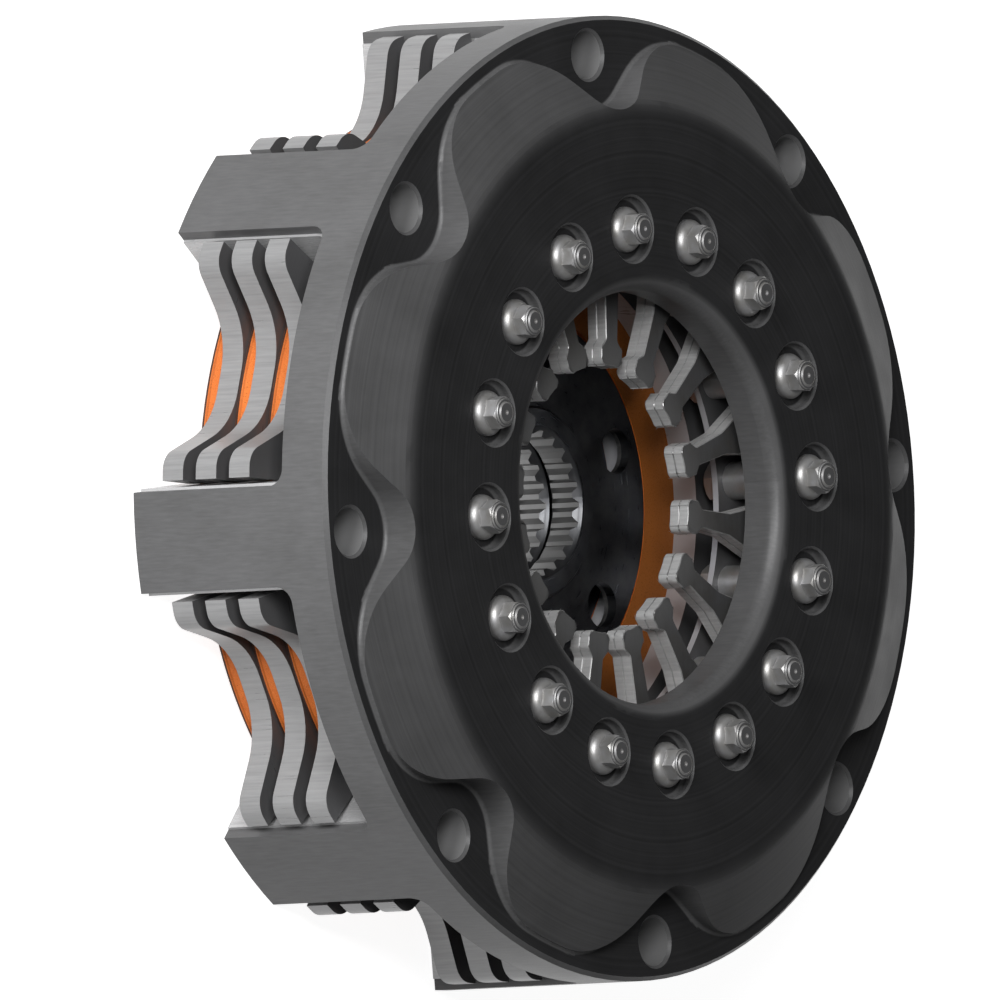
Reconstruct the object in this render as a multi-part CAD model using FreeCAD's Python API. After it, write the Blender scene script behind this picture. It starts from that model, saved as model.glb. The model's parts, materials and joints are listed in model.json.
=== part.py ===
import FreeCAD, Part
import math
import os

# A triple plate race clutch of the 140 mm class, driven by the eight legs of its cover.
# All sizes are millimetres. The origin is the centre of the flywheel face, on which the
# eight legs stand, and +Z points from the flywheel to the front of the cover. The first
# leg lies on +X, so another one lies on +Y, and the clutch turns about Z.

# Cover: flange, legs and bolts
leg_count = 8
bolt_circle_d = 155.6
bolt_hole_d = 8.5
bolt_hole_chamfer = 0.5
flange_rim_wall = 2.45
flange_thickness = 9.55
flange_chamfer = 0.75
leg_width = 17.8
leg_inner_wall = 2.45
window_corner_r = 3.0

# Cover: dome and scalloped recesses around the bolts
dome_height = 7.0
dome_wall = 7.65
dome_flat_inset = 11.8
dome_shoulder_r = 8.6
dome_fall_deg = 24.5
scallop_r = 9.8
scallop_fillet = 0.8
shield_corner_r = 16.4
shield_corner_inset = 12.8
shield_corner_deg = 18.87
opening_edge_r = 3.0
opening_land = 1.65

# Cover: inside
ceiling_rise = 2.7
chamber_wall_inset = 2.1
chamber_wall_height = 5.6
chamber_wall_lean = 4.5
fulcrum_rib_height = 3.0
fulcrum_rib_width = 7.0
fulcrum_rib_draft = 1.0

# Pivot bolts, sleeves and lock nuts
pivot_count = 16
pivot_circle_r = 46.95
pivot_bolt_d = 4.0
pivot_hole_clearance = 0.1
pivot_head_across_flats = 7.0
pivot_head_height = 2.8
pivot_head_bevel = 0.15
pivot_head_turn_deg = 18.0
sleeve_d = 6.7
sleeve_bore_clearance = 0.1
pocket_r = 6.1
pocket_depth = 2.0
pocket_fillet = 0.8
pocket_chamfer = 0.35
nut_flange_d = 8.0
nut_flange_rim = 0.7
nut_dome_height = 1.3
nut_dome_bulge = 0.25
nut_across_flats = 5.2
nut_hex_height = 2.3
nut_hex_bevel = 0.1
nut_collar_d = 4.9
nut_collar_height = 0.35
bolt_end_past_nut = 0.15
bolt_end_chamfer = 0.3

# Support ring and wire fulcrum rings
support_ring_inner_edge = 4.75
support_ring_thickness = 1.2
support_ring_edge = 2.0
fulcrum_wire_d = 2.0
fulcrum_wire_gap = 0.15
fulcrum_groove_gap = 0.05

# Diaphragm springs
spring_thickness = 2.05
spring_rim_gap = 3.0
spring_cone_deg = 3.5
finger_tip_r = 23.45
finger_tip_rise = 13.55
finger_tip_half_width = 2.95
finger_tip_corner_r = 1.2
finger_tip_length = 3.0
finger_neck_half_width = 1.6
finger_neck_start = 4.6
finger_root_half_width = 1.95
finger_root_start = 13.0
finger_corner_r = 0.6
slot_end_clearance = 1.0

# Plate stack
flywheel_step = 3.05
driven_thickness = 2.85
plate_thickness = 4.5
pressure_plate_thickness = 4.5
pressure_face_step = 0.4
pressure_face_inset = 3.6
plate_ear_setback = 0.7
plate_scoop_inset = 0.95
plate_scoop_slope_deg = 51.1
plate_scoop_start = 8.19
plate_scoop_r = 12.8
plate_ear_corner_r = 4.0
plate_leg_gap = 0.12
plate_slot_straight_length = 4.2
plate_slot_mouth_deg = 7.3
plate_slot_floor_gap = 0.5
plate_slot_corner_r = 0.5
plate_bore_gap = 0.8
pressure_bore_edge = 3.75

# Pressure plate ridge that carries the springs
ridge_inset = 2.5
ridge_nose_r = 1.2
ridge_spring_gap = 0.05
ridge_base_width = 6.0
ridge_vent_count = 16
ridge_vent_width = 5.0
ridge_vent_floor = 1.2

# Driven plates
driven_count = 3
lining_rim_gap = 0.67
lining_bore_gap = 1.0
lining_thickness = 1.0
lining_rim_lip = 0.95
lining_edge_break = 0.2
hub_flange_r = 33.7
hub_flange_thickness = 1.8
hub_front_boss_r = 17.0
hub_rear_boss_r = 16.0
hub_front_height = 2.0
hub_length = 6.8
hub_edge_chamfer = 0.5
hub_hole_count = 6
hub_hole_d = 8.0
hub_hole_inset = 6.3
hub_hole_first_deg = 15.0

# Shaft spline of the hubs
spline_teeth = 23
spline_major_r = 13.0
spline_minor_r = 12.2
spline_mouth_r = 13.45
spline_space_share = 0.73
spline_floor_share = 0.24
spline_turn_deg = 9.8

# Steel liners on the legs
liner_thickness = 0.5
liner_end_gap = 0.15
liner_rim_setback = 1.95
liner_lip_deg = 62.0

# Construction aids: how far a cutter runs past what it cuts, and when two places are one
overshoot = 1.0
same_place = 1e-3
ear_margin_deg = 0.5
finger_slot_run_in = 4.0

# Sizes that follow from the ones above
bolt_circle_r = bolt_circle_d / 2
bolt_hole_r = bolt_hole_d / 2
flange_r = bolt_circle_r + bolt_hole_r + flange_rim_wall
leg_inner_r = bolt_circle_r - bolt_hole_r - leg_inner_wall
dome_flat_r = bolt_circle_r - dome_flat_inset
shield_corner_circle_r = bolt_circle_r - shield_corner_inset
shield_outer_r = shield_corner_circle_r + shield_corner_r
leg_pitch_deg = 360.0 / leg_count
pivot_pitch_deg = 360.0 / pivot_count
opening_r = pivot_circle_r - pocket_r - opening_land - opening_edge_r
chamber_r = leg_inner_r - chamber_wall_inset
chamber_ceiling_r = chamber_r - chamber_wall_lean
spring_outer_r = chamber_r - spring_rim_gap
ridge_r = spring_outer_r - ridge_inset
support_ring_inner_r = pivot_circle_r - support_ring_inner_edge
stack_pitch = driven_thickness + plate_thickness
nut_height = nut_flange_rim + nut_dome_height + nut_hex_height + nut_collar_height
liner_inner_r = leg_inner_r - liner_thickness
liner_half_width = leg_width / 2 + liner_thickness
lining_outer_r = liner_inner_r - lining_rim_gap
hub_hole_circle_r = hub_flange_r - hub_hole_inset
lining_inner_r = hub_flange_r + lining_bore_gap
plate_ear_r = flange_r - plate_ear_setback
plate_scoop_flat_r = leg_inner_r - plate_scoop_inset
plate_slot_straight_r = leg_inner_r + plate_slot_straight_length
pressure_face_r = leg_inner_r - pressure_face_inset
pressure_plate_bore_r = pivot_circle_r - pressure_bore_edge
plate_slot_half_width = liner_half_width + plate_leg_gap
liner_corner_x = math.sqrt(liner_inner_r ** 2 - liner_half_width ** 2)
plate_slot_floor_x = liner_corner_x - plate_slot_floor_gap
plate_bore_r = hub_flange_r + plate_bore_gap
carrier_thickness = driven_thickness - 2 * lining_thickness
carrier_outer_r = lining_outer_r - lining_rim_lip
spring_slope = math.tan(math.radians(spring_cone_deg))
spring_height = spring_thickness / math.cos(math.radians(spring_cone_deg))
spring_pack_height = 2 * spring_height
fulcrum_wire_r = fulcrum_wire_d / 2
fulcrum_circle_r = pivot_circle_r + sleeve_d / 2 + fulcrum_wire_r + fulcrum_wire_gap
support_ring_outer_r = fulcrum_circle_r + fulcrum_wire_r + support_ring_edge


def driven_rear_z(index):
    """Height of the rear face of a driven plate, counted from the flywheel."""
    return flywheel_step + index * stack_pitch


def plate_rear_z(index):
    """Height of the rear face of the plate in front of a driven plate."""
    return driven_rear_z(index) + driven_thickness


# Heights that stand on the stack of plates
pressure_face_z = plate_rear_z(driven_count - 1) + pressure_plate_thickness + pressure_face_step
finger_tip_top_z = pressure_face_z + finger_tip_rise
ceiling_z = finger_tip_top_z + ceiling_rise
top_z = ceiling_z + dome_wall
flange_front_z = top_z - dome_height
flange_back_z = flange_front_z - flange_thickness
pocket_floor_z = top_z - pocket_depth


def spring_front_z(radius):
    """Height of the front face of the spring pack, which is a shallow cone."""
    return finger_tip_top_z - (radius - finger_tip_r) * spring_slope


def spring_back_z(radius):
    """Height of the back face of the spring pack."""
    return spring_front_z(radius) - spring_pack_height


# Heights of the parts that clamp the fulcrum
cone_cos = math.cos(math.radians(spring_cone_deg))
cone_sin = math.sin(math.radians(spring_cone_deg))
front_wire_z = spring_front_z(fulcrum_circle_r) + fulcrum_wire_r / cone_cos
rear_wire_z = spring_back_z(fulcrum_circle_r) - fulcrum_wire_r / cone_cos
support_top_z = rear_wire_z - fulcrum_wire_r
support_bottom_z = support_top_z - support_ring_thickness
pivot_head_bottom_z = support_bottom_z - pivot_head_height
nut_top_z = pocket_floor_z + nut_height
bolt_end_z = nut_top_z + bolt_end_past_nut


def vec(x, y, z=0.0):
    return FreeCAD.Vector(x, y, z)


def polar(radius, degrees, z=0.0):
    angle = math.radians(degrees)
    return vec(radius * math.cos(angle), radius * math.sin(angle), z)


def turned(shape, degrees):
    """A copy of a shape, turned about the clutch axis."""
    copy = shape.copy()
    copy.rotate(vec(0, 0), vec(0, 0, 1), degrees)
    return copy


def around(shape, count, first_deg=0.0):
    """Copies of a shape, evenly spaced about the clutch axis."""
    return [turned(shape, first_deg + k * 360.0 / count) for k in range(count)]


def ring(outer_r, inner_r, bottom_z, top_z_value):
    """A flat ring between two heights."""
    height = top_z_value - bottom_z
    disc = Part.makeCylinder(outer_r, height, vec(0, 0, bottom_z))
    hole = Part.makeCylinder(inner_r, height, vec(0, 0, bottom_z))
    return disc.cut(hole)


def revolved(points):
    """A solid of revolution from a closed outline of (radius, height) points."""
    corners = [vec(r, 0, z) for r, z in points]
    wire = Part.makePolygon(corners + [corners[0]])
    return Part.Face(wire).revolve(vec(0, 0), vec(0, 0, 1), 360)


def arc_edge(start, middle, end):
    return Part.Arc(start, middle, end).toShape()


def rounded_wire(points):
    """A closed wire through (x, y, radius) corners, each corner rounded by its radius."""
    edges = []
    starts = []
    ends = []
    middles = []
    count = len(points)
    for k in range(count):
        here = vec(points[k][0], points[k][1])
        before = vec(points[k - 1][0], points[k - 1][1]) - here
        after = vec(points[(k + 1) % count][0], points[(k + 1) % count][1]) - here
        before.normalize()
        after.normalize()
        radius = points[k][2]
        half = before.getAngle(after) / 2
        if radius == 0:
            starts.append(here)
            ends.append(here)
            middles.append(None)
            continue
        reach = radius / math.tan(half)
        bisector = before + after
        bisector.normalize()
        centre = here + bisector * (radius / math.sin(half))
        starts.append(here + before * reach)
        ends.append(here + after * reach)
        middles.append(centre - bisector * radius)
    for k in range(count):
        if middles[k] is not None:
            edges.append(arc_edge(starts[k], middles[k], ends[k]))
        following = starts[(k + 1) % count]
        if (following - ends[k]).Length > same_place:
            edges.append(Part.makeLine(ends[k], following))
    return Part.Wire(Part.sortEdges(edges)[0])


def prism(wire, bottom_z, height):
    """A flat outline raised to a solid."""
    placed = wire.copy()
    placed.translate(vec(0, 0, bottom_z))
    return Part.Face(placed).extrude(vec(0, 0, height))


def vertical_edges(shape, test):
    """The edges that run along Z and whose foot passes a test on (radius, degrees)."""
    found = []
    for edge in shape.Edges:
        if not isinstance(edge.Curve, Part.Line):
            continue
        first, last = edge.Vertexes[0].Point, edge.Vertexes[-1].Point
        if math.hypot(first.x - last.x, first.y - last.y) > same_place:
            continue
        if test(math.hypot(first.x, first.y), math.degrees(math.atan2(first.y, first.x))):
            found.append(edge)
    return found


# Clutch cover

def dome_blank():
    """The dome as turned: flat top, rounded shoulder and a cone down to the flange."""
    fall = math.radians(dome_fall_deg)
    centre = vec(dome_flat_r, 0, top_z - dome_shoulder_r)
    shoulder_mid = centre + vec(math.sin(fall / 2), 0, math.cos(fall / 2)) * dome_shoulder_r
    shoulder_end = centre + vec(math.sin(fall), 0, math.cos(fall)) * dome_shoulder_r
    foot_r = flange_r + overshoot
    foot_z = shoulder_end.z - (foot_r - shoulder_end.x) * math.tan(fall)
    low_z = flange_front_z - overshoot
    edges = [
        Part.makeLine(vec(0, 0, top_z), vec(dome_flat_r, 0, top_z)),
        arc_edge(vec(dome_flat_r, 0, top_z), shoulder_mid, shoulder_end),
        Part.makeLine(shoulder_end, vec(foot_r, 0, foot_z)),
        Part.makeLine(vec(foot_r, 0, foot_z), vec(foot_r, 0, low_z)),
        Part.makeLine(vec(foot_r, 0, low_z), vec(0, 0, low_z)),
        Part.makeLine(vec(0, 0, low_z), vec(0, 0, top_z)),
    ]
    return Part.Face(Part.Wire(edges)).revolve(vec(0, 0), vec(0, 0, 1), 360)


def scallop_outline():
    """The wavy wall of the dome: a hollow arc round each bolt, a straight run, and the
    rounded shoulders of the shield between two bolts."""
    edges = []
    bolt = polar(bolt_circle_r, 0)
    corner = polar(shield_corner_circle_r, shield_corner_deg)
    span = corner - bolt
    # The straight run is the inner common tangent of the two circles
    swing = math.acos((scallop_r + shield_corner_r) / span.Length)
    heading = math.atan2(span.y, span.x)
    out_dir = vec(math.cos(heading + swing), math.sin(heading + swing))
    hollow_end = bolt + out_dir * scallop_r
    straight_end = corner - out_dir * shield_corner_r
    # The shoulder runs smoothly into the outer arc of the shield
    shoulder_end = polar(shield_outer_r, shield_corner_deg)
    crown_mid = polar(shield_outer_r, leg_pitch_deg / 2)
    next_shoulder = polar(shield_outer_r, leg_pitch_deg - shield_corner_deg)
    out_angle = math.atan2((straight_end - corner).y, (straight_end - corner).x)
    end_angle = math.atan2((shoulder_end - corner).y, (shoulder_end - corner).x)
    mid_angle = (out_angle + end_angle) / 2
    shoulder_mid = corner + vec(math.cos(mid_angle), math.sin(mid_angle)) * shield_corner_r
    hollow_mid = polar(bolt_circle_r - scallop_r, 0)
    for k in range(leg_count):
        turn = k * leg_pitch_deg
        low = [mirrored(p) for p in (hollow_end, straight_end, shoulder_mid, shoulder_end)]
        edges.append(turned(arc_edge(low[0], hollow_mid, hollow_end), turn))
        edges.append(turned(Part.makeLine(hollow_end, straight_end), turn))
        edges.append(turned(arc_edge(straight_end, shoulder_mid, shoulder_end), turn))
        edges.append(turned(Part.makeLine(low[1], low[0]), turn))
        edges.append(turned(arc_edge(low[3], low[2], low[1]), turn))
        edges.append(turned(arc_edge(shoulder_end, crown_mid, next_shoulder), turn))
    return Part.Wire(Part.sortEdges(edges)[0])


def mirrored(point):
    """A point's mirror image across the X axis."""
    return vec(point.x, -point.y, point.z)


def scalloped_dome():
    walls = prism(scallop_outline(), flange_front_z - overshoot, dome_height + 2 * overshoot)
    return walls.common(dome_blank())


def flange_and_legs():
    """A ring as high as the cover, with the windows between the legs milled out."""
    body = Part.makeCylinder(flange_r, flange_front_z, vec(0, 0, 0))
    body = body.makeChamfer(flange_chamfer, [top_rim_edge(body, flange_front_z, flange_r)])
    body = body.cut(Part.makeCylinder(leg_inner_r, flange_back_z, vec(0, 0, 0)))
    for window in around(window_cutter(), leg_count, leg_pitch_deg / 2):
        body = body.cut(window)
    return body


def top_rim_edge(shape, height, radius):
    """The circular edge of a given radius at a given height."""
    circles = [edge for edge in shape.Edges if isinstance(edge.Curve, Part.Circle)]
    level = [edge for edge in circles if abs(edge.Curve.Center.z - height) < same_place]
    return [edge for edge in level if abs(edge.Curve.Radius - radius) < same_place][0]


def window_cutter():
    """The gap between two legs, its sides parallel to the flanks of the legs, its upper
    corners rounded. It points along +X."""
    half_pitch = math.radians(leg_pitch_deg / 2)
    far = flange_r + overshoot
    near = leg_inner_r - overshoot
    low = -overshoot
    solids = []
    for side in (1, -1):
        # One half of the window, drawn square to the leg beside it
        profile = [
            (leg_width / 2, low, 0.0),
            (leg_width / 2, flange_back_z, window_corner_r),
            (far, flange_back_z, 0.0),
            (far, low, 0.0),
        ]
        wire = rounded_wire(profile)
        face = Part.Face(wire)
        # The outline lies in XY; it is stood up so that its second axis is Z
        face.rotate(vec(0, 0), vec(1, 0, 0), 90)
        slab = face.extrude(vec(0, -far, 0))
        # The leg's own axis is -Y here, and is turned to the leg's place
        slab.rotate(vec(0, 0), vec(0, 0, 1), 90)
        if side == -1:
            slab = slab.mirror(vec(0, 0), vec(0, 1, 0))
        slab.rotate(vec(0, 0), vec(0, 0, 1), -side * math.degrees(half_pitch))
        solids.append(slab)
    both = solids[0].common(solids[1])
    outside = ring(far, near, low, flange_front_z)
    return both.common(outside)


def cover_underside():
    """The space under the dome: the spring chamber, with the rib for the front fulcrum."""
    wall_top_z = flange_back_z + chamber_wall_height
    rib_foot_z = ceiling_z - fulcrum_rib_height
    rib_in_r = fulcrum_circle_r - fulcrum_wire_r
    rib_out_r = rib_in_r + fulcrum_rib_width
    points = [
        (0, flange_back_z),
        (chamber_r, flange_back_z),
        (chamber_r, wall_top_z),
        (chamber_ceiling_r, ceiling_z),
        (rib_out_r + fulcrum_rib_draft, ceiling_z),
        (rib_out_r, rib_foot_z),
        (rib_in_r, rib_foot_z),
        (rib_in_r, ceiling_z),
        (0, ceiling_z),
    ]
    return revolved(points)


def front_wire_groove():
    """Round groove in the rib, where the front fulcrum ring lies."""
    groove_r = fulcrum_wire_r + fulcrum_groove_gap
    return Part.makeTorus(fulcrum_circle_r, groove_r, vec(0, 0, front_wire_z), vec(0, 0, 1))


def opening_cutter():
    """The opening for the release bearing, with its rounded front edge."""
    hole = Part.makeCylinder(opening_r, top_z, vec(0, 0, 0))
    mouth_r = opening_r + opening_edge_r
    edge_foot = vec(0, 0, top_z - opening_edge_r)
    mouth = Part.makeCylinder(mouth_r, opening_edge_r + overshoot, edge_foot)
    round_edge = Part.makeTorus(mouth_r, opening_edge_r, edge_foot, vec(0, 0, 1))
    return hole.fuse(mouth.cut(round_edge))


def nut_pocket():
    """Round pocket in the dome for one lock nut, dished at its foot, with the bolt hole."""
    wall_r = pocket_r - pocket_chamfer
    pocket = Part.makeCylinder(wall_r, pocket_depth, vec(pivot_circle_r, 0, pocket_floor_z))
    pocket = pocket.makeFillet(pocket_fillet, [top_rim_edge(pocket, pocket_floor_z, wall_r)])
    mouth_foot = vec(pivot_circle_r, 0, top_z - pocket_chamfer)
    pocket = pocket.fuse(Part.makeCone(wall_r, pocket_r, pocket_chamfer, mouth_foot))
    hole_r = pivot_bolt_d / 2 + pivot_hole_clearance
    hole = Part.makeCylinder(hole_r, top_z, vec(pivot_circle_r, 0, 0))
    return pocket.fuse(hole)


def mounting_hole():
    """Bolt hole down one leg, chamfered on the flange."""
    hole_foot = vec(bolt_circle_r, 0, -overshoot)
    hole = Part.makeCylinder(bolt_hole_r, flange_front_z + 2 * overshoot, hole_foot)
    mouth_r = bolt_hole_r + bolt_hole_chamfer
    mouth_foot = vec(bolt_circle_r, 0, flange_front_z - bolt_hole_chamfer)
    cone = Part.makeCone(bolt_hole_r, mouth_r, bolt_hole_chamfer, mouth_foot)
    return hole.fuse(cone)


def scallop_foot_edges(shape):
    """The edges where the dome's walls stand on the flange."""
    found = []
    for edge in shape.Edges:
        box = edge.BoundBox
        if max(abs(box.ZMin - flange_front_z), abs(box.ZMax - flange_front_z)) > same_place:
            continue
        middle = edge.valueAt((edge.FirstParameter + edge.LastParameter) / 2)
        radius = math.hypot(middle.x, middle.y)
        if pivot_circle_r < radius < shield_outer_r + same_place:
            found.append(edge)
    return found


def clutch_cover():
    body = flange_and_legs().fuse(scalloped_dome()).removeSplitter()
    body = body.makeFillet(scallop_fillet, scallop_foot_edges(body))
    body = body.cut(cover_underside())
    body = body.cut(opening_cutter())
    body = body.cut(front_wire_groove())
    for pocket in around(nut_pocket(), pivot_count):
        body = body.cut(pocket)
    for hole in around(mounting_hole(), leg_count):
        body = body.cut(hole)
    return body


# Steel liners on the legs

def leg_liner():
    """A folded steel saddle round the inner side and both flanks of one leg. The upper
    ends of its flanks bend out along the rounded corners of the windows."""
    outer_r = flange_r - liner_rim_setback
    straight_top = flange_back_z - window_corner_r
    half = leg_width / 2
    sweep = math.radians(liner_lip_deg)
    centre = vec(half + window_corner_r, straight_top)
    inner = window_corner_r - liner_thickness

    def on_arc(radius, angle):
        return centre + vec(-math.cos(angle), math.sin(angle)) * radius

    edges = [
        Part.makeLine(vec(half, liner_end_gap), vec(half, straight_top)),
        arc_edge(vec(half, straight_top), on_arc(window_corner_r, sweep / 2), on_arc(window_corner_r, sweep)),
        Part.makeLine(on_arc(window_corner_r, sweep), on_arc(inner, sweep)),
        arc_edge(on_arc(inner, sweep), on_arc(inner, sweep / 2), vec(half + liner_thickness, straight_top)),
        Part.makeLine(vec(half + liner_thickness, straight_top), vec(half + liner_thickness, liner_end_gap)),
        Part.makeLine(vec(half + liner_thickness, liner_end_gap), vec(half, liner_end_gap)),
    ]
    face = Part.Face(Part.Wire(edges))
    # The outline stands up in the YZ plane, and is drawn out along the leg's radius
    face.rotate(vec(0, 0), vec(1, 0, 0), 90)
    face.rotate(vec(0, 0), vec(0, 0, 1), 90)
    flank = face.extrude(vec(flange_r, 0, 0))
    other = flank.mirror(vec(0, 0), vec(0, 1, 0))
    shell = ring(outer_r, liner_inner_r, 0, flange_back_z)
    flanks = flank.fuse(other).common(shell)
    web_band = ring(leg_inner_r, liner_inner_r, liner_end_gap, straight_top)
    width = 2 * liner_half_width
    beam = Part.makeBox(flange_r, width, straight_top, vec(0, -liner_half_width, 0))
    web = web_band.common(beam)
    return flanks.fuse(web).removeSplitter()


# Plates

def scoop_cutter(bottom_z, height):
    """What is left out of a plate's rim in the middle of a window. It points along +X."""
    slope = math.radians(plate_scoop_slope_deg)
    half = plate_scoop_start
    rise = plate_ear_r + overshoot - plate_scoop_flat_r
    spread = half + rise / math.tan(slope)
    points = [
        (plate_scoop_flat_r, -half, plate_scoop_r),
        (plate_scoop_flat_r, half, plate_scoop_r),
        (plate_scoop_flat_r + rise, spread, 0.0),
        (plate_scoop_flat_r + rise, -spread, 0.0),
    ]
    return prism(rounded_wire(points), bottom_z, height)


def leg_slot_cutter(bottom_z, height):
    """The slot that lets one leg and its liner pass the plate. Its walls are parallel near
    its floor and open out towards the rim. It points along +X."""
    wall = plate_slot_half_width
    rim_half = plate_ear_r * math.sin(math.radians(plate_slot_mouth_deg))
    rim_x = plate_ear_r * math.cos(math.radians(plate_slot_mouth_deg))
    flare = (rim_half - wall) / (rim_x - plate_slot_straight_r)
    far_x = plate_ear_r + overshoot
    far_half = wall + (far_x - plate_slot_straight_r) * flare
    points = [
        (plate_slot_floor_x, -wall, plate_slot_corner_r),
        (plate_slot_floor_x, wall, plate_slot_corner_r),
        (plate_slot_straight_r, wall, 0.0),
        (far_x, far_half, 0.0),
        (far_x, -far_half, 0.0),
        (plate_slot_straight_r, -wall, 0.0),
    ]
    return prism(rounded_wire(points), bottom_z, height)


def lugged_plate(bottom_z, thickness, bore_r):
    """A flat plate with ears on both sides of each leg and scoops between them."""
    plate = Part.makeCylinder(plate_ear_r, thickness, vec(0, 0, bottom_z))
    low = bottom_z - overshoot
    tall = thickness + 2 * overshoot
    for cutter in around(scoop_cutter(low, tall), leg_count, leg_pitch_deg / 2):
        plate = plate.cut(cutter)
    for cutter in around(leg_slot_cutter(low, tall), leg_count):
        plate = plate.cut(cutter)
    corners = vertical_edges(plate, ear_corner_test)
    plate = plate.makeFillet(plate_ear_corner_r, corners)
    return plate.cut(Part.makeCylinder(bore_r, tall, vec(0, 0, low)))


def ear_corner_test(radius, degrees):
    """True for the outer corner of an ear on the side of the scoop."""
    if abs(radius - plate_ear_r) > same_place:
        return False
    from_leg = abs((degrees + leg_pitch_deg / 2) % leg_pitch_deg - leg_pitch_deg / 2)
    return from_leg > plate_slot_mouth_deg + ear_margin_deg


def intermediate_plate(index):
    return lugged_plate(plate_rear_z(index), plate_thickness, plate_bore_r)


def pressure_plate():
    """The front plate, with the raised ridge on which the springs press."""
    bottom_z = plate_rear_z(driven_count - 1)
    rim_z = bottom_z + pressure_plate_thickness
    plate = lugged_plate(bottom_z, pressure_plate_thickness, pressure_plate_bore_r)
    plate = plate.fuse(ring(pressure_face_r, pressure_plate_bore_r, rim_z, pressure_face_z))
    nose_z = spring_back_z(ridge_r) - ridge_nose_r / cone_cos - ridge_spring_gap
    wide = ridge_base_width / 2
    foot = rim_z
    points = [
        (ridge_r - wide, foot),
        (ridge_r + wide, foot),
        (ridge_r + ridge_nose_r, nose_z),
        (ridge_r - ridge_nose_r, nose_z),
    ]
    ridge = revolved(points)
    nose = Part.makeTorus(ridge_r, ridge_nose_r, vec(0, 0, nose_z), vec(0, 0, 1))
    ridge = ridge.fuse(nose)
    vent = Part.makeBox(
        ridge_base_width * 2,
        ridge_vent_width,
        top_z,
        vec(ridge_r - ridge_base_width, -ridge_vent_width / 2, pressure_face_z + ridge_vent_floor),
    )
    for cutter in around(vent, ridge_vent_count, pivot_pitch_deg / 2):
        ridge = ridge.cut(cutter)
    return plate.fuse(ridge).removeSplitter()


# Driven plates

def spline_wire():
    """Outline of the internal spline: teeth reach in to the minor radius, and the spaces
    between them reach out to the major radius."""
    points = []
    pitch = 360.0 / spline_teeth
    mouth = pitch * spline_space_share
    floor = pitch * spline_floor_share
    for k in range(spline_teeth):
        at = spline_turn_deg + k * pitch
        points.append(polar(spline_minor_r, at - mouth / 2))
        points.append(polar(spline_major_r, at - floor / 2))
        points.append(polar(spline_major_r, at + floor / 2))
        points.append(polar(spline_minor_r, at + mouth / 2))
    return Part.makePolygon(points + [points[0]])


def hub_holes(bottom_z, height):
    """The round holes through the hub's flange and the core disc."""
    hole = Part.makeCylinder(hub_hole_d / 2, height, vec(hub_hole_circle_r, 0, bottom_z))
    return around(hole, hub_hole_count, hub_hole_first_deg)


def driven_hub(index):
    """Splined hub with its flange. The flange lies on the front of the core disc."""
    flange_bottom = driven_rear_z(index) + lining_thickness + carrier_thickness
    flange_top = flange_bottom + hub_flange_thickness
    front_z = flange_top + hub_front_height
    rear_z = front_z - hub_length
    edge = hub_edge_chamfer
    body = revolved([
        (0, rear_z),
        (hub_rear_boss_r - edge, rear_z),
        (hub_rear_boss_r, rear_z + edge),
        (hub_rear_boss_r, flange_bottom),
        (hub_flange_r - edge / 2, flange_bottom),
        (hub_flange_r, flange_bottom + edge / 2),
        (hub_flange_r, flange_top - edge / 2),
        (hub_flange_r - edge / 2, flange_top),
        (hub_front_boss_r, flange_top),
        (hub_front_boss_r, front_z - edge),
        (hub_front_boss_r - edge, front_z),
        (0, front_z),
    ])
    cut_foot_z = rear_z - overshoot
    cut_height = hub_length + 2 * overshoot
    body = body.cut(prism(spline_wire(), cut_foot_z, cut_height))
    deep_r = spline_minor_r - overshoot
    slope_in = spline_mouth_r - deep_r
    front_mouth = Part.makeCone(deep_r, spline_mouth_r, slope_in, vec(0, 0, front_z - slope_in))
    rear_mouth = Part.makeCone(spline_mouth_r, deep_r, slope_in, vec(0, 0, rear_z))
    body = body.cut(front_mouth).cut(rear_mouth)
    for hole in hub_holes(cut_foot_z, cut_height):
        body = body.cut(hole)
    return body


def core_disc(index):
    """Thin steel disc between the two linings, brazed to the hub's flange."""
    bottom_z = driven_rear_z(index) + lining_thickness
    disc = ring(carrier_outer_r, hub_rear_boss_r, bottom_z, bottom_z + carrier_thickness)
    for hole in hub_holes(bottom_z - overshoot, carrier_thickness + 2 * overshoot):
        disc = disc.cut(hole)
    return disc


def broken_rim(shape, heights):
    """A lining with small chamfers on its outer rim at the given heights."""
    edges = [top_rim_edge(shape, height, lining_outer_r) for height in heights]
    return shape.makeChamfer(lining_edge_break, edges)


def rear_lining(index):
    bottom_z = driven_rear_z(index)
    upper_z = bottom_z + lining_thickness
    lining = ring(lining_outer_r, lining_inner_r, bottom_z, upper_z)
    return broken_rim(lining, [bottom_z, upper_z])


def front_lining(index):
    """The front lining closes down over the edge of the core disc at its rim."""
    core_bottom = driven_rear_z(index) + lining_thickness
    core_top = core_bottom + carrier_thickness
    face = ring(lining_outer_r, lining_inner_r, core_top, core_top + lining_thickness)
    lip = ring(lining_outer_r, carrier_outer_r, core_bottom, core_top)
    lining = face.fuse(lip).removeSplitter()
    return broken_rim(lining, [core_bottom, core_top + lining_thickness])


# Diaphragm springs

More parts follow.
